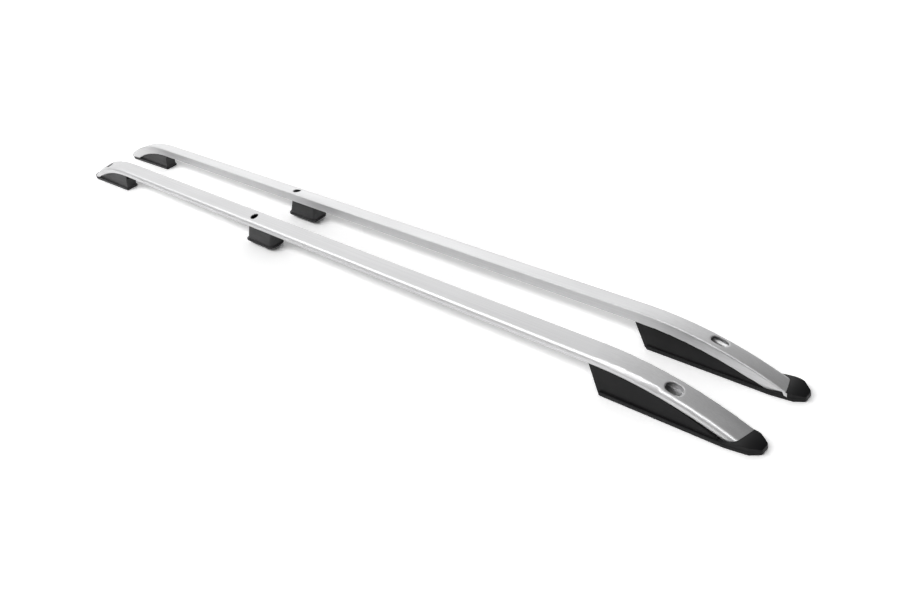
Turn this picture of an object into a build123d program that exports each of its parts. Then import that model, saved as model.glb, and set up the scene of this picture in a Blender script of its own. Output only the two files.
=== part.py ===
from build123d import *
from math import asin, degrees
import os

os.makedirs("parts", exist_ok=True)

# The pair as it lies: +X towards the long swept feet, the right-hand rail on the -Y side.
# Each rail is drawn once in its own frame: x from the rear tip, +y towards the other rail,
# z up from the roof. The second rail is the mirror image of the first.
rail_length = 1900.0
rail_spacing = 117.4
ridge_height = 65.7

# Tube: one hollow extrusion, bent at both ends
tube_width = 34.8
tube_depth = 21.0
tube_wall = 2.2
crown_fall = 6.6
crown_bulge = 0.9
side_height = 10.6
side_tuck = 1.6
shoulder_reach = 1.2
edge_facet = 5.2
inner_lean = 0.9
ridge_round = 1.3
shoulder_round = 9.0
lower_round = 1.6
hollow_round = 0.8
rear_bend_start = 215.0
rear_bend_radius = 415.0
rear_bend_angle = 34.0
front_bend_start = 1640.0
front_bend_radius = 560.0
front_bend_angle = 27.5
tube_front_end = 1877.0
tube_rear_end = 5.0
tube_front_floor = 6.0
tube_rear_floor = 4.6
tongue_inner_round = 8.0
tongue_outer_round = 13.0

# Openings in the tube
access_hole_diameter = 17.0
middle_hole_offset = 1.5
front_slot_length = 27.0
rear_slot_length = 23.0
bolt_hole_diameter = 6.6
front_bolt_x = 1767.0
middle_bolt_x = 763.0
rear_bolt_x = 104.0

# Front foot: long shelled moulding with a nose over the tube's end
front_foot_start = 1648.0
front_foot_rake = 16.5
front_panel_outer = 20.8
front_panel_inner = 17.2
front_panel_top_outer = 13.6
front_panel_top_inner = 15.0
front_base_height = 7.6
front_base_start = 1651.5
front_base_outer = 24.2
front_base_inner = 19.6
front_base_waist = 22.8
front_base_shoulder_x = 1852.0
nose_corner_x = 1885.0
nose_corner_outer = 18.2
nose_corner_inner = 16.2
nose_face_half = 7.6
nose_start = 1834.0
nose_crest_x = 1875.0
nose_crest_height = 13.8
nose_mid_x = 1857.0
nose_mid_height = 9.6
nose_brow_x = 1889.0
nose_brow_height = 12.4
nose_face_height = 8.2
front_cavity_end = 1838.0

# Middle foot: sheared block that stands clear of the plane of the end feet
middle_foot_floor = 8.6
middle_base_start = 727.5
middle_base_length = 96.0
middle_base_width = 40.0
middle_base_corner = 13.0
middle_lip = 2.6
middle_lip_height = 2.0
middle_shear = 21.0
middle_top_length = 88.0
middle_top_width = 28.6
middle_top_corner = 9.0
middle_top_overrun = 4.0

# Rear foot: short moulding under the arch of the rear bend
rear_foot_end = 184.0
rear_foot_rake = 24.0
rear_panel_half = 12.6
rear_panel_top_half = 12.2
rear_base_height = 6.4
rear_base_tip_half = 19.0
rear_base_front_half = 15.4
rear_base_end = 187.0
rear_tip_side_x = 26.0
rear_tip_corner_half = 9.0
rear_tip_corner_x = 6.5
rear_tip_face_half = 4.0
rear_cavity_start = 46.0

# Shared by the moulded feet
gasket_thickness = 1.8
gasket_inset = 1.0
foot_wall = 2.8
foot_roof = 3.2
rib_thickness = 2.0
boss_radius = 8.0
base_edge_round = 1.4
gasket_hole_radius = 4.5

# Pan-head screws that hold each foot to the tube from below
screw_shank_radius = 2.1
screw_hole_radius = 2.4
screw_length = 8.0
screw_head_radius = 4.2
screw_head_height = 2.8
front_screw_xs = [1700.0, 1735.0]
middle_screw_xs = [796.0]
rear_screw_xs = [150.0, 176.0]
screw_head_access_radius = 4.7

half_width = tube_width / 2
rail_shift = rail_length / 2


# Section of the tube

def nearest_corner(face, point):
    return face.vertices().sort_by_distance(point)[0]


def tube_section(x, inset=0.0):
    plane = Plane(origin=(x, 0, ridge_height), x_dir=(0, 1, 0), z_dir=(1, 0, 0))
    ridge = (half_width, 0)
    shoulder = (-half_width - shoulder_reach, -crown_fall)
    crown = (0, -crown_fall / 2 + crown_bulge)
    tuck = (-half_width + side_tuck, -crown_fall - side_height)
    keel = (-half_width + side_tuck + edge_facet, -tube_depth)
    heel = (half_width - inner_lean, -tube_depth)
    top = ThreePointArc(ridge, crown, shoulder)
    rest = Polyline(shoulder, tuck, keel, heel, ridge)
    face = make_face([top, rest])
    if inset > 0:
        face = offset(face, amount=-inset, kind=Kind.INTERSECTION)
    rounds = [
        (ridge, ridge_round),
        (shoulder, shoulder_round),
        (tuck, lower_round),
        (heel, lower_round),
    ]
    for corner, radius in rounds:
        spot = Vector(corner[0], corner[1], 0)
        face = fillet(nearest_corner(face, spot), max(radius - inset, hollow_round))
    return plane * face


# What is left of the bar's two bends: the ends rounded in plan and cut off just inside the feet's bases

def rear_limit():
    length = rear_bend_start - tube_rear_end
    plan = Pos(tube_rear_end + length / 2, 0) * Rectangle(length, tube_width + 4)
    corners = [
        ((tube_rear_end, half_width + 2), tongue_inner_round),
        ((tube_rear_end, -half_width - 2), tongue_outer_round),
    ]
    for corner, radius in corners:
        spot = Vector(corner[0], corner[1], 0)
        plan = fillet(nearest_corner(plan, spot), radius)
    return extrude(Pos(0, 0, tube_rear_floor) * plan, amount=ridge_height + 10)


def front_limit():
    return Pos(front_bend_start, 0, tube_front_floor) * Box(
        tube_front_end - front_bend_start, tube_width * 2, ridge_height + 10,
        align=(Align.MIN, Align.CENTER, Align.MIN),
    )


# The bar, solid to cut the feet with, or hollow as it is extruded

def bent_bar(hollow):
    def section_at(x):
        face = tube_section(x)
        if hollow:
            face -= tube_section(x, tube_wall)
        return face

    rear_centre = (rear_bend_start, 0, ridge_height - rear_bend_radius)
    front_centre = (front_bend_start, 0, ridge_height - front_bend_radius)
    rear_axis = Axis(rear_centre, (0, -1, 0))
    front_axis = Axis(front_centre, (0, 1, 0))
    rear = revolve(section_at(rear_bend_start), rear_axis, rear_bend_angle)
    front = revolve(section_at(front_bend_start), front_axis, front_bend_angle)
    span = front_bend_start - rear_bend_start
    straight = extrude(section_at(rear_bend_start), amount=span, dir=(1, 0, 0))
    return (rear & rear_limit()) + straight + (front & front_limit())


def access_cutter(x, y, length):
    if length > access_hole_diameter:
        shape = SlotOverall(length, access_hole_diameter)
    else:
        shape = Circle(access_hole_diameter / 2)
    cutter = extrude(Pos(x, y, 0) * shape, amount=ridge_height + 10)
    # stops half-way down the hollow, so that only the top wall is opened
    drop = bend_drop(x) + tube_depth * 0.45
    floor = Pos(x, y, ridge_height - drop) * Box(
        length * 2, tube_width, ridge_height, align=(Align.CENTER, Align.CENTER, Align.MIN)
    )
    return cutter & floor


def bend_drop(x):
    if x > front_bend_start:
        run = x - front_bend_start
        return front_bend_radius - (front_bend_radius ** 2 - run ** 2) ** 0.5
    if x < rear_bend_start:
        run = rear_bend_start - x
        return rear_bend_radius - (rear_bend_radius ** 2 - run ** 2) ** 0.5
    return 0.0


def vertical_hole(x, radius):
    return Pos(x, 0, -5) * Cylinder(
        radius, ridge_height - tube_depth * 0.6 + 5 - bend_drop(x),
        align=(Align.CENTER, Align.CENTER, Align.MIN),
    )


tube_bar = bent_bar(False)


def make_tube():
    tube = bent_bar(True)
    tube -= access_cutter(front_bolt_x, 0, front_slot_length)
    tube -= access_cutter(middle_bolt_x, middle_hole_offset, access_hole_diameter)
    tube -= access_cutter(rear_bolt_x, 0, rear_slot_length)
    for x in (front_bolt_x, middle_bolt_x, rear_bolt_x):
        tube -= vertical_hole(x, bolt_hole_diameter / 2)
    for x in front_screw_xs + middle_screw_xs + rear_screw_xs:
        tube -= vertical_hole(x, screw_hole_radius)
    return tube


# Points on a line parallel to the ridge, a depth below it, at an angle round a bend

def front_bend_point(angle, depth):
    direction = Vector(0, 1).rotate(Axis.Z, -angle)
    radius = front_bend_radius - depth
    return (
        front_bend_start + direction.X * radius,
        ridge_height - front_bend_radius + direction.Y * radius,
    )


def rear_bend_point(angle, depth):
    direction = Vector(0, 1).rotate(Axis.Z, angle)
    radius = rear_bend_radius - depth
    return (
        rear_bend_start + direction.X * radius,
        ridge_height - rear_bend_radius + direction.Y * radius,
    )


def side_slab(edges, width=80.0):
    face = Plane.XZ * make_face(edges)
    return extrude(face, amount=width / 2, both=True)


def front_side_slab(start, rake, depth, floor):
    end_angle = 24.0
    top = ridge_height - depth
    low = (start, floor)
    high = (start - rake, top)
    bend = front_bend_point(0, depth)
    half_way = front_bend_point(end_angle / 2, depth)
    tip = front_bend_point(end_angle, depth)
    edges = [
        Line(low, high),
        Line(high, bend),
        ThreePointArc(bend, half_way, tip),
        Line(tip, (tip[0], floor)),
        Line((tip[0], floor), low),
    ]
    return side_slab(edges)


def wedge_bar(bottom_outer, bottom_inner, top_outer, top_inner, start, end, low, high):
    face = Polygon(
        (-bottom_outer, low), (bottom_inner, low), (top_inner, high), (-top_outer, high),
        align=None,
    )
    plane = Plane(origin=(start, 0, 0), x_dir=(0, 1, 0), z_dir=(1, 0, 0))
    return extrude(plane * face, amount=end - start, dir=(1, 0, 0))


def boss(x, base):
    return Pos(x, 0, base) * Cylinder(
        boss_radius, ridge_height, align=(Align.CENTER, Align.CENTER, Align.MIN)
    )


def cross_rib(x, base):
    return Pos(x, 0, base) * Box(
        rib_thickness, tube_width * 3, ridge_height,
        align=(Align.CENTER, Align.CENTER, Align.MIN),
    )


def spine_rib(start, end, base):
    return Pos(start, 0, base) * Box(
        end - start, rib_thickness, ridge_height, align=(Align.MIN, Align.CENTER, Align.MIN)
    )


def screw_passage(x):
    roof_drop = bend_drop(x) + tube_depth
    shank = vertical_hole(x, screw_hole_radius)
    head_room = Pos(x, 0, -5) * Cylinder(
        screw_head_access_radius, ridge_height - roof_drop - foot_roof + 5,
        align=(Align.CENTER, Align.CENTER, Align.MIN),
    )
    return shank + head_room


def ribs_between(start, end, pitch, base):
    count = int((end - start) / pitch)
    ribs = cross_rib(start + pitch, base)
    for step in range(2, count):
        ribs += cross_rib(start + pitch * step, base)
    return ribs


# Front foot

def front_base_outline(grow):
    points = [
        (front_base_start - grow, -front_base_outer - grow),
        (front_base_shoulder_x, -front_base_waist - grow),
        (nose_corner_x, -nose_corner_outer - grow),
        (rail_length + grow, -nose_face_half),
        (rail_length + grow, nose_face_half),
        (nose_corner_x, nose_corner_inner + grow),
        (front_base_shoulder_x, front_base_inner + grow),
        (front_base_start - grow, front_base_inner + grow),
    ]
    outline = Polygon(*points, align=None)
    for corner in (points[1], points[6]):
        outline = fillet(nearest_corner(outline, Vector(corner[0], corner[1], 0)), 60.0)
    for corner in (points[2], points[5]):
        outline = fillet(nearest_corner(outline, Vector(corner[0], corner[1], 0)), 9.0)
    for corner in (points[3], points[4]):
        outline = fillet(nearest_corner(outline, Vector(corner[0], corner[1], 0)), 4.0)
    return outline


def make_front_foot():
    base = gasket_thickness
    flange = extrude(Pos(0, 0, base) * front_base_outline(0), amount=front_base_height - base)
    flange = fillet(flange.faces().sort_by(Axis.Z)[-1].edges(), base_edge_round)
    body = wedge_bar(
        front_panel_outer, front_panel_inner, front_panel_top_outer, front_panel_top_inner,
        front_foot_start - front_foot_rake, nose_start + 8, base, ridge_height - tube_depth + 4,
    )
    body &= front_side_slab(front_foot_start, front_foot_rake, tube_depth - 3, base)
    nose_edges = [
        Line((nose_start, base), (nose_start, front_base_height - 1)),
        Spline(
            (nose_start, front_base_height - 1), (nose_mid_x, nose_mid_height),
            (nose_crest_x, nose_crest_height), (nose_brow_x, nose_brow_height),
            (rail_length, nose_face_height),
        ),
        Line((rail_length, nose_face_height), (rail_length, base)),
        Line((rail_length, base), (nose_start, base)),
    ]
    nose_plan = extrude(Pos(0, 0, base) * front_base_outline(-0.4), amount=30)
    nose = side_slab(nose_edges) & nose_plan
    foot = (flange - tube_bar) + (body - tube_bar) + (nose - tube_bar)
    # open underneath, with a boss round the bolt and cross ribs
    hollow = wedge_bar(
        front_panel_outer - foot_wall, front_panel_inner - foot_wall,
        front_panel_top_outer - foot_wall, front_panel_top_inner - foot_wall,
        front_foot_start + foot_wall - front_foot_rake, front_cavity_end,
        0, ridge_height - tube_depth,
    )
    hollow &= front_side_slab(
        front_foot_start + foot_wall, front_foot_rake, tube_depth + foot_roof, 0
    )
    solids_left = boss(front_bolt_x, 0)
    solids_left += ribs_between(front_foot_start, front_cavity_end, 27.0, base)
    solids_left += spine_rib(front_bolt_x, front_cavity_end, base)
    foot -= hollow - solids_left
    foot -= vertical_hole(front_bolt_x, bolt_hole_diameter / 2)
    for x in front_screw_xs:
        foot -= screw_passage(x)
    return foot


def make_front_gasket():
    outline = front_base_outline(-gasket_inset)
    sheet = extrude(outline, amount=gasket_thickness)
    window = Pos((front_foot_start + front_bolt_x) / 2 - 4, -1) * RectangleRounded(
        front_bolt_x - front_foot_start - 36, 26, 6
    )
    sheet -= extrude(window, amount=gasket_thickness)
    return sheet - Pos(front_bolt_x, 0, 0) * Cylinder(gasket_hole_radius, 10)


# Middle foot

def middle_outline(length, width, corner, start):
    return Pos(start + length / 2, 0.5) * RectangleRounded(length, width, corner)


def make_middle_foot():
    base = middle_foot_floor + gasket_thickness
    top = ridge_height - tube_depth + middle_top_overrun
    low = Pos(0, 0, base) * middle_outline(
        middle_base_length - 2 * middle_lip, middle_base_width - 2 * middle_lip,
        middle_base_corner - middle_lip, middle_base_start + middle_lip,
    )
    high = Pos(0, 0, top) * middle_outline(
        middle_top_length, middle_top_width, middle_top_corner,
        middle_base_start + middle_lip + middle_shear,
    )
    body = loft([low, high])
    lip = extrude(
        Pos(0, 0, base) * middle_outline(
            middle_base_length, middle_base_width, middle_base_corner, middle_base_start
        ),
        amount=middle_lip_height,
    )
    lip = fillet(lip.faces().sort_by(Axis.Z)[-1].edges(), 0.9)
    foot = body + lip - tube_bar
    inner_low = Pos(0, 0, base) * middle_outline(
        middle_base_length - 2 * middle_lip - 2 * foot_wall,
        middle_base_width - 2 * middle_lip - 2 * foot_wall,
        middle_base_corner - middle_lip - foot_wall,
        middle_base_start + middle_lip + foot_wall,
    )
    inner_high = Pos(0, 0, top) * middle_outline(
        middle_top_length - 2 * foot_wall, middle_top_width - 2 * foot_wall,
        middle_top_corner - foot_wall,
        middle_base_start + middle_lip + middle_shear + foot_wall,
    )
    hollow = loft([inner_low, inner_high])
    roof = ridge_height - tube_depth - foot_roof
    hollow &= Pos(middle_bolt_x, 0, 0) * Box(
        300, 100, roof, align=(Align.CENTER, Align.CENTER, Align.MIN)
    )
    kept = boss(middle_bolt_x, 0)
    kept += cross_rib(middle_bolt_x + 20, base)
    kept += cross_rib(middle_bolt_x + 46, base)
    foot -= hollow - kept
    foot -= vertical_hole(middle_bolt_x, bolt_hole_diameter / 2)
    for x in middle_screw_xs:
        foot -= screw_passage(x)
    return foot


def make_middle_gasket():
    outline = middle_outline(
        middle_base_length - 2 * gasket_inset, middle_base_width - 2 * gasket_inset,
        middle_base_corner - gasket_inset, middle_base_start + gasket_inset,
    )
    sheet = extrude(Pos(0, 0, middle_foot_floor) * outline, amount=gasket_thickness)
    access = Pos(middle_screw_xs[0], 0, middle_foot_floor) * Cylinder(6.0, 10)
    hole = Pos(middle_bolt_x, 0, middle_foot_floor) * Cylinder(gasket_hole_radius, 10)
    return sheet - access - hole


# Rear foot

def rear_base_outline(grow):
    points = [
        (-grow, -rear_tip_face_half),
        (rear_tip_corner_x, -rear_tip_corner_half - 4 - grow),
        (rear_tip_side_x, -rear_base_tip_half - grow),
        (rear_base_end + grow, -rear_base_front_half - grow),
        (rear_base_end + grow, rear_base_front_half + grow),
        (rear_tip_side_x - 6, rear_base_tip_half + grow),
        (rear_tip_corner_x, rear_tip_corner_half + 5 + grow),
        (-grow, rear_tip_face_half),
    ]
    outline = Polygon(*points, align=None)
    rounds = [3.0, 7.0, 16.0, 2.0, 2.0, 9.0, 7.0, 3.0]
    for corner, radius in zip(points, rounds):
        spot = Vector(corner[0], corner[1], 0)
        outline = fillet(nearest_corner(outline, spot), radius)
    return outline


def rear_side_slab(end, rake, depth, floor):
    start_angle = degrees(asin((rear_bend_start - end - rake) / (rear_bend_radius - depth)))
    end_angle = 31.0
    low = (end, floor)
    high = rear_bend_point(start_angle, depth)
    half_way = rear_bend_point((start_angle + end_angle) / 2, depth)
    tip = rear_bend_point(end_angle, depth)
    edges = [
        Line(low, high),
        ThreePointArc(high, half_way, tip),
        Line(tip, (tip[0], floor)),
        Line((tip[0], floor), low),
    ]
    return side_slab(edges)


def make_rear_foot():
    base = gasket_thickness
    flange = extrude(Pos(0, 0, base) * rear_base_outline(0), amount=rear_base_height - base)
    flange = fillet(flange.faces().sort_by(Axis.Z)[-1].edges(), base_edge_round)
    body = wedge_bar(
        rear_panel_half, rear_panel_half, rear_panel_top_half, rear_panel_top_half,
        30, rear_foot_end + rear_foot_rake + 4, base, ridge_height - tube_depth + 3,
    )
    body &= rear_side_slab(rear_foot_end, rear_foot_rake, tube_depth - 3, base)
    foot = (flange - tube_bar) + (body - tube_bar)
    hollow = wedge_bar(
        rear_panel_half - foot_wall, rear_panel_half - foot_wall,
        rear_panel_top_half - foot_wall, rear_panel_top_half - foot_wall,
        rear_cavity_start, rear_foot_end + rear_foot_rake, 0, ridge_height,
    )
    hollow &= rear_side_slab(
        rear_foot_end - foot_wall, rear_foot_rake, tube_depth + foot_roof, 0
    )
    kept = boss(rear_bolt_x, 0)
    kept += cross_rib(rear_bolt_x - 24, base)
    kept += cross_rib(rear_bolt_x + 24, base)
    foot -= hollow - kept
    foot -= vertical_hole(rear_bolt_x, bolt_hole_diameter / 2)
    for x in rear_screw_xs:
        foot -= screw_passage(x)
    return foot


def make_rear_gasket():
    sheet = extrude(rear_base_outline(-gasket_inset), amount=gasket_thickness)
    window = Pos(rear_bolt_x + 50, 0) * RectangleRounded(62, 20, 5)
    sheet -= extrude(window, amount=gasket_thickness)
    return sheet - Pos(rear_bolt_x, 0, 0) * Cylinder(gasket_hole_radius, 10)


# Screws of one foot

def make_screws(xs):
    screws = []
    for x in xs:
        seat = ridge_height - bend_drop(x) - tube_depth - foot_roof
        shank = Pos(x, 0, seat) * Cylinder(
            screw_shank_radius, screw_length, align=(Align.CENTER, Align.CENTER, Align.MIN)
        )
        head = Pos(x, 0, seat) * Cylinder(
            screw_head_radius, screw_head_height, align=(Align.CENTER, Align.CENTER, Align.MAX)
        )
        head = fillet(head.edges().sort_by(Axis.Z)[0], 1.2)
        slot = Pos(x, 0, seat - screw_head_height) * Box(
            5.0, 1.1, 1.2, align=(Align.CENTER, Align.CENTER, Align.MIN)
        )
        screws.append(head + shank - slot)
    return screws


def one_solid(shape):
    solids = shape.solids().sort_by(SortBy.VOLUME)
    return solids[-1]


def write_pair(name, solids):
    right = Compound(children=[Pos(-rail_shift, -rail_spacing / 2, 0) * s for s in solids])
    left = Compound(children=[mirror(Pos(-rail_shift, -rail_spacing / 2, 0) * s, Plane.XZ)
                              for s in solids])
    export_step(right, f"parts/{name}_right.step")
    export_step(left, f"parts/{name}_left.step")
    print(name, [round(s.volume) for s in solids], right.bounding_box())


write_pair("rail_tube", [one_solid(make_tube())])
write_pair("front_foot", [one_solid(make_front_foot())])
write_pair("front_foot_gasket", [one_solid(make_front_gasket())])
write_pair("front_foot_screws", make_screws(front_screw_xs))
write_pair("middle_foot", [one_solid(make_middle_foot())])
write_pair("middle_foot_gasket", [one_solid(make_middle_gasket())])
write_pair("middle_foot_screws", make_screws(middle_screw_xs))
write_pair("rear_foot", [one_solid(make_rear_foot())])
write_pair("rear_foot_gasket", [one_solid(make_rear_gasket())])
write_pair("rear_foot_screws", make_screws(rear_screw_xs))
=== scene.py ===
import bpy
from mathutils import Matrix, Vector

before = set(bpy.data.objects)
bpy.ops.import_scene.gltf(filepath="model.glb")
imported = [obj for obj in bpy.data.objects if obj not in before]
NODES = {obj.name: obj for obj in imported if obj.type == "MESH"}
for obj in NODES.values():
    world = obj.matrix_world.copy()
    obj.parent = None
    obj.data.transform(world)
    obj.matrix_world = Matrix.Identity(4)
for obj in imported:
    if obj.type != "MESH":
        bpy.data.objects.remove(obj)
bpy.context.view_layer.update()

# The two tubes: aluminium profiles, drawn through one die, bent at both ends, satin
# anodised in silver. The brushing runs along the rail, so the grain is stretched in x.
# Only their shading normals are evened out, so that the light runs on through the bends.

SIDES = ("right", "left")

# the values between which a noise texture mostly varies
NOISE_LOW = 0.3
NOISE_HIGH = 0.7
EDGE_SAMPLES = 6
UNSTRETCHED = (1.0, 1.0, 1.0)

SILVER_DARK = (0.59, 0.59, 0.595)
SILVER_LIGHT = (0.67, 0.67, 0.675)
BRUSH_STRETCH = (3.0, 900.0, 900.0)
CLOUD_STRETCH = (6.0, 30.0, 30.0)
SPECKLE_SCALE = 2600.0
SATIN_ROUGHNESS = (0.40, 0.48)
BRUSH_STRENGTH = 0.06
SPECKLE_STRENGTH = 0.05
METAL_GRAIN_DEPTH = 0.0001
TUBE_EDGE_RADIUS = 0.0035
LARGE_FACE_WEIGHT = 100


def new_material(name):
    material = bpy.data.materials.new(name)
    material.use_nodes = True
    tree = material.node_tree
    shader = tree.nodes["Principled BSDF"]
    return material, tree, shader


def object_coordinates(tree, scale):
    coords = tree.nodes.new("ShaderNodeTexCoord")
    mapping = tree.nodes.new("ShaderNodeMapping")
    mapping.inputs["Scale"].default_value = scale
    tree.links.new(coords.outputs["Object"], mapping.inputs["Vector"])
    return mapping.outputs["Vector"]


def noise(tree, stretch, scale=1.0, detail=4.0, roughness=0.6):
    node = tree.nodes.new("ShaderNodeTexNoise")
    node.inputs["Scale"].default_value = scale
    node.inputs["Detail"].default_value = detail
    node.inputs["Roughness"].default_value = roughness
    tree.links.new(object_coordinates(tree, stretch), node.inputs["Vector"])
    return node.outputs["Fac"]


def ramp(tree, value, low, high, from_low=NOISE_LOW, from_high=NOISE_HIGH):
    node = tree.nodes.new("ShaderNodeMapRange")
    node.inputs["From Min"].default_value = from_low
    node.inputs["From Max"].default_value = from_high
    node.inputs["To Min"].default_value = low
    node.inputs["To Max"].default_value = high
    tree.links.new(value, node.inputs["Value"])
    return node.outputs["Result"]


def colour_between(tree, value, dark, light):
    node = tree.nodes.new("ShaderNodeValToRGB")
    first, last = node.color_ramp.elements
    first.position = NOISE_LOW
    first.color = (*dark, 1)
    last.position = NOISE_HIGH
    last.color = (*light, 1)
    tree.links.new(value, node.inputs["Fac"])
    return node.outputs["Color"]


def bump(tree, height, strength, distance, normal=None):
    node = tree.nodes.new("ShaderNodeBump")
    node.inputs["Strength"].default_value = strength
    node.inputs["Distance"].default_value = distance
    tree.links.new(height, node.inputs["Height"])
    if normal is not None:
        tree.links.new(normal, node.inputs["Normal"])
    return node.outputs["Normal"]


def rounded_edges(tree, radius):
    node = tree.nodes.new("ShaderNodeBevel")
    node.samples = EDGE_SAMPLES
    node.inputs["Radius"].default_value = radius
    return node.outputs["Normal"]


def paint(node_name, material):
    for part_slot in NODES[node_name].material_slots:
        part_slot.material = material


def satin_aluminium():
    material, tree, shader = new_material("satin anodised aluminium")
    brushed = noise(tree, BRUSH_STRETCH, detail=6.0)
    cloudy = noise(tree, CLOUD_STRETCH, detail=3.0)
    speckle = noise(tree, UNSTRETCHED, SPECKLE_SCALE, 2.0)
    tone = colour_between(tree, brushed, SILVER_DARK, SILVER_LIGHT)
    tree.links.new(tone, shader.inputs["Base Color"])
    shader.inputs["Metallic"].default_value = 1.0
    tree.links.new(ramp(tree, cloudy, *SATIN_ROUGHNESS), shader.inputs["Roughness"])
    edges = rounded_edges(tree, TUBE_EDGE_RADIUS)
    normal = bump(tree, brushed, BRUSH_STRENGTH, METAL_GRAIN_DEPTH, edges)
    normal = bump(tree, speckle, SPECKLE_STRENGTH, METAL_GRAIN_DEPTH, normal)
    tree.links.new(normal, shader.inputs["Normal"])
    return material


aluminium = satin_aluminium()
for side in SIDES:
    paint(f"rail_tube_{side}", aluminium)
    even_shading = NODES[f"rail_tube_{side}"].modifiers.new("even shading", "WEIGHTED_NORMAL")
    even_shading.weight = LARGE_FACE_WEIGHT

# The front feet: long swept mouldings in fine-grained black plastic, shelled and ribbed
# underneath. The base flange and the nose that caps the tube carry a soft sheen.

BLOTCH_STRETCH = (9.0, 9.0, 9.0)
BLOTCH_SCALE = 3.0
MOULD_GRAIN_SCALE = 1900.0
MOULD_GRAIN_DEPTH = 0.0002
SCUFF_STRETCH = (14.0, 120.0, 120.0)
SMOOTHER_BY = 0.05
ROUGHER_BY = 0.06
MOULDED_EDGE_RADIUS = 0.0006

FRONT_DARK = (0.004, 0.004, 0.0045)
FRONT_LIGHT = (0.0075, 0.0075, 0.008)
FRONT_ROUGHNESS = 0.38
FRONT_GRAIN = 0.12
FRONT_SHINE = 0.17


def black_moulding(name, dark, light, roughness, grain, shine):
    material, tree, shader = new_material(name)
    blotch = noise(tree, BLOTCH_STRETCH, BLOTCH_SCALE)
    fine = noise(tree, UNSTRETCHED, MOULD_GRAIN_SCALE, 3.0)
    scuff = noise(tree, SCUFF_STRETCH, detail=5.0)
    tone = colour_between(tree, blotch, dark, light)
    tree.links.new(tone, shader.inputs["Base Color"])
    wear = ramp(tree, scuff, roughness - SMOOTHER_BY, roughness + ROUGHER_BY)
    tree.links.new(wear, shader.inputs["Roughness"])
    shader.inputs["Specular IOR Level"].default_value = shine
    edges = rounded_edges(tree, MOULDED_EDGE_RADIUS)
    normal = bump(tree, fine, grain, MOULD_GRAIN_DEPTH, edges)
    tree.links.new(normal, shader.inputs["Normal"])
    return material


front_plastic = black_moulding(
    "front foot plastic", FRONT_DARK, FRONT_LIGHT, FRONT_ROUGHNESS, FRONT_GRAIN, FRONT_SHINE
)
for side in SIDES:
    paint(f"front_foot_{side}", front_plastic)

# The middle feet: short blocks moulded in black plastic, bolted down through the tube.
# Their finish is rougher and a little greyer than the front feet's.

MIDDLE_DARK = (0.022, 0.022, 0.023)
MIDDLE_LIGHT = (0.036, 0.036, 0.037)
MIDDLE_ROUGHNESS = 0.50
COARSE_GRAIN = 0.16
COARSE_SHINE = 0.22

middle_plastic = black_moulding(
    "middle foot plastic", MIDDLE_DARK, MIDDLE_LIGHT, MIDDLE_ROUGHNESS, COARSE_GRAIN, COARSE_SHINE
)
for side in SIDES:
    paint(f"middle_foot_{side}", middle_plastic)

# The rear feet: short mouldings in plastic of the middle feet's grain, which fill the arch
# of the tube's rear bend and are screwed to its floor.

REAR_DARK = (0.024, 0.024, 0.025)
REAR_LIGHT = (0.040, 0.040, 0.041)
REAR_ROUGHNESS = 0.48

rear_plastic = black_moulding(
    "rear foot plastic", REAR_DARK, REAR_LIGHT, REAR_ROUGHNESS, COARSE_GRAIN, COARSE_SHINE
)
for side in SIDES:
    paint(f"rear_foot_{side}", rear_plastic)

# The gaskets: cut from sheet rubber and stuck under each foot, so that the paint of the
# roof is kept from the plastic.

FEET = ("front", "middle", "rear")
RUBBER_DARK = (0.008, 0.008, 0.008)
RUBBER_LIGHT = (0.018, 0.018, 0.018)
RUBBER_ROUGHNESS = (0.72, 0.88)
PORE_SCALE = 1200.0
PORE_STRENGTH = 0.3
PORE_DEPTH = 0.0002


def sheet_rubber():
    material, tree, shader = new_material("sheet rubber")
    pores = noise(tree, UNSTRETCHED, PORE_SCALE)
    tone = colour_between(tree, pores, RUBBER_DARK, RUBBER_LIGHT)
    tree.links.new(tone, shader.inputs["Base Color"])
    tree.links.new(ramp(tree, pores, *RUBBER_ROUGHNESS), shader.inputs["Roughness"])
    tree.links.new(bump(tree, pores, PORE_STRENGTH, PORE_DEPTH), shader.inputs["Normal"])
    return material


rubber = sheet_rubber()
for side in SIDES:
    for foot in FEET:
        paint(f"{foot}_foot_gasket_{side}", rubber)

# The screws: zinc-plated pan heads, driven from below through each foot's roof into the
# floor of the tube.

ZINC_DARK = (0.52, 0.53, 0.52)
ZINC_LIGHT = (0.68, 0.68, 0.66)
ZINC_ROUGHNESS = (0.30, 0.45)
CRYSTAL_SCALE = 700.0
CRYSTAL_STRENGTH = 0.15


def zinc_plate():
    material, tree, shader = new_material("zinc plated steel")
    crystals = noise(tree, UNSTRETCHED, CRYSTAL_SCALE, 5.0)
    tone = colour_between(tree, crystals, ZINC_DARK, ZINC_LIGHT)
    tree.links.new(tone, shader.inputs["Base Color"])
    shader.inputs["Metallic"].default_value = 1.0
    tree.links.new(ramp(tree, crystals, *ZINC_ROUGHNESS), shader.inputs["Roughness"])
    normal = bump(tree, crystals, CRYSTAL_STRENGTH, METAL_GRAIN_DEPTH)
    tree.links.new(normal, shader.inputs["Normal"])
    return material


zinc = zinc_plate()
for side in SIDES:
    for foot in FEET:
        paint(f"{foot}_foot_screws_{side}", zinc)

# The studio: a white seamless floor in a dim room, whose pale left and back walls show in
# the tops of the tubes. Two long strip lamps in front draw the bright line along each
# shoulder, and a weak lamp overhead fills in.

FLOOR_PLAIN = 0.97
FLOOR_SEEN = 1.12
FLOOR_SEEN_FAR = 2.3
LIFT_START = 0.3
LIFT_END = 4.0
FLOOR_HALF = 60.0
FLOOR_DROP = 0.0002


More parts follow.
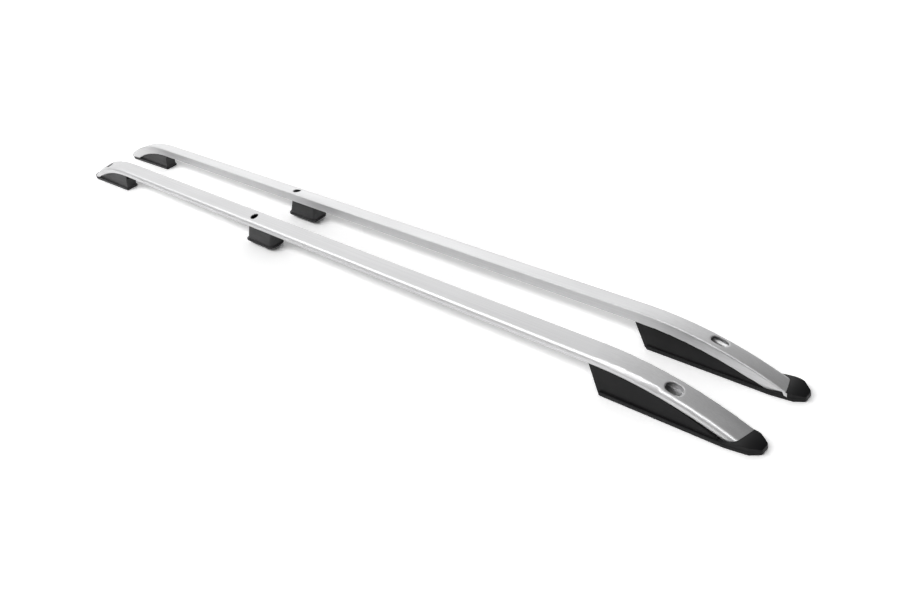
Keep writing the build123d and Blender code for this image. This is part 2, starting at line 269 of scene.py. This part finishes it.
def seamless_floor():
    material, tree, shader = new_material("studio floor")
    tree.nodes.remove(shader)
    path = tree.nodes.new("ShaderNodeLightPath")
    seen = None
    for ray in ("Is Camera Ray", "Is Glossy Ray", "Is Transmission Ray"):
        either = tree.nodes.new("ShaderNodeMath")
        either.operation = "MAXIMUM"
        either.inputs[1].default_value = 0.0
        tree.links.new(path.outputs[ray], either.inputs[0])
        if seen is not None:
            tree.links.new(seen, either.inputs[1])
        seen = either.outputs["Value"]
    away = tree.nodes.new("ShaderNodeVectorMath")
    away.operation = "LENGTH"
    tree.links.new(object_coordinates(tree, UNSTRETCHED), away.inputs[0])
    lifted = ramp(tree, away.outputs["Value"], FLOOR_SEEN, FLOOR_SEEN_FAR, LIFT_START, LIFT_END)
    paleness = ramp(tree, seen, FLOOR_PLAIN, FLOOR_SEEN, 0.0, 1.0)
    tree.links.new(lifted, paleness.node.inputs["To Max"])
    surface = tree.nodes.new("ShaderNodeBsdfDiffuse")
    tree.links.new(paleness, surface.inputs["Color"])
    output = tree.nodes["Material Output"]
    tree.links.new(surface.outputs["BSDF"], output.inputs["Surface"])
    return material


floor_corners = [
    (-FLOOR_HALF, -FLOOR_HALF, 0.0),
    (FLOOR_HALF, -FLOOR_HALF, 0.0),
    (FLOOR_HALF, FLOOR_HALF, 0.0),
    (-FLOOR_HALF, FLOOR_HALF, 0.0),
]
floor_mesh = bpy.data.meshes.new("floor")
floor_mesh.from_pydata(floor_corners, [], [(0, 1, 2, 3)])
floor = bpy.data.objects.new("floor", floor_mesh)
floor.location.z = -FLOOR_DROP
floor_mesh.materials.append(seamless_floor())
bpy.context.collection.objects.link(floor)

# each wall: its direction, how narrow its glow is, and how bright
ROOM_LEVEL = 0.15
LEFT_WALL = ((-0.84, 0.25, 0.48), 3.0, 0.84)
BACK_WALL = ((-0.62, 0.74, 0.25), 5.0, 0.92)
world = bpy.data.worlds.new("studio")
world.use_nodes = True
world_tree = world.node_tree
backdrop = world_tree.nodes["Background"]


def world_math(operation, first, second):
    node = world_tree.nodes.new("ShaderNodeMath")
    node.operation = operation
    for socket, value in zip(node.inputs, (first, second)):
        if isinstance(value, float):
            socket.default_value = value
        else:
            world_tree.links.new(value, socket)
    return node.outputs["Value"]


direction = world_tree.nodes.new("ShaderNodeTexCoord").outputs["Generated"]
room = ROOM_LEVEL
for toward, sharpness, strength in (LEFT_WALL, BACK_WALL):
    facing = world_tree.nodes.new("ShaderNodeVectorMath")
    facing.operation = "DOT_PRODUCT"
    facing.inputs[1].default_value = Vector(toward).normalized()
    world_tree.links.new(direction, facing.inputs[0])
    glow = world_math("MAXIMUM", facing.outputs["Value"], 0.0)
    glow = world_math("POWER", glow, sharpness)
    glow = world_math("MULTIPLY", glow, strength)
    room = world_math("ADD", glow, room)
world_tree.links.new(room, backdrop.inputs["Strength"])
backdrop.inputs["Color"].default_value = (1, 1, 1, 1)
bpy.context.scene.world = world


def soft_light(name, place, size, power):
    data = bpy.data.lights.new(name, "AREA")
    data.shape = "RECTANGLE"
    data.size, data.size_y = size
    data.energy = power
    lamp = bpy.data.objects.new(name, data)
    lamp.location = place
    lamp.rotation_euler = (-Vector(place)).to_track_quat("-Z", "Y").to_euler()
    bpy.context.collection.objects.link(lamp)


# each lamp: its name, its place and size in metres, and its power in watts
LAMPS = (
    ("front strip lamp", (0.0, -2.2, 3.4), (8.0, 0.9), 128.0),
    ("low strip lamp", (-2.2, -2.1, 2.2), (5.0, 1.6), 26.0),
    ("overhead lamp", (0.6, 0.4, 3.0), (2.4, 2.4), 3.0),
)
for lamp_values in LAMPS:
    soft_light(*lamp_values)

# The camera of the photograph, fitted to its edges: position, the three axes of its
# view and its focal length.

CAMERA_PLACE = (1.35794, -0.82180, 0.88182)
CAMERA_RIGHT = (0.71165412, 0.67571907, -0.19222942)
CAMERA_UP = (-0.28422302, 0.52715802, 0.80082564)
CAMERA_VIEW = (-0.64246844, 0.51527484, -0.56720909)
SENSOR_WIDTH_MM = 36.0
FOCAL_LENGTH_MM = 35.0
NEAREST_SEEN = 0.01

camera_data = bpy.data.cameras.new("camera")
camera_data.sensor_width = SENSOR_WIDTH_MM
camera_data.lens = FOCAL_LENGTH_MM
camera_data.clip_start = NEAREST_SEEN
camera = bpy.data.objects.new("camera", camera_data)
axes = Matrix((CAMERA_RIGHT, CAMERA_UP, [-v for v in CAMERA_VIEW])).transposed()
camera.matrix_world = Matrix.Translation(CAMERA_PLACE) @ axes.to_4x4()
bpy.context.collection.objects.link(camera)
bpy.context.scene.camera = camera
bpy.context.scene.view_settings.view_transform = "Standard"
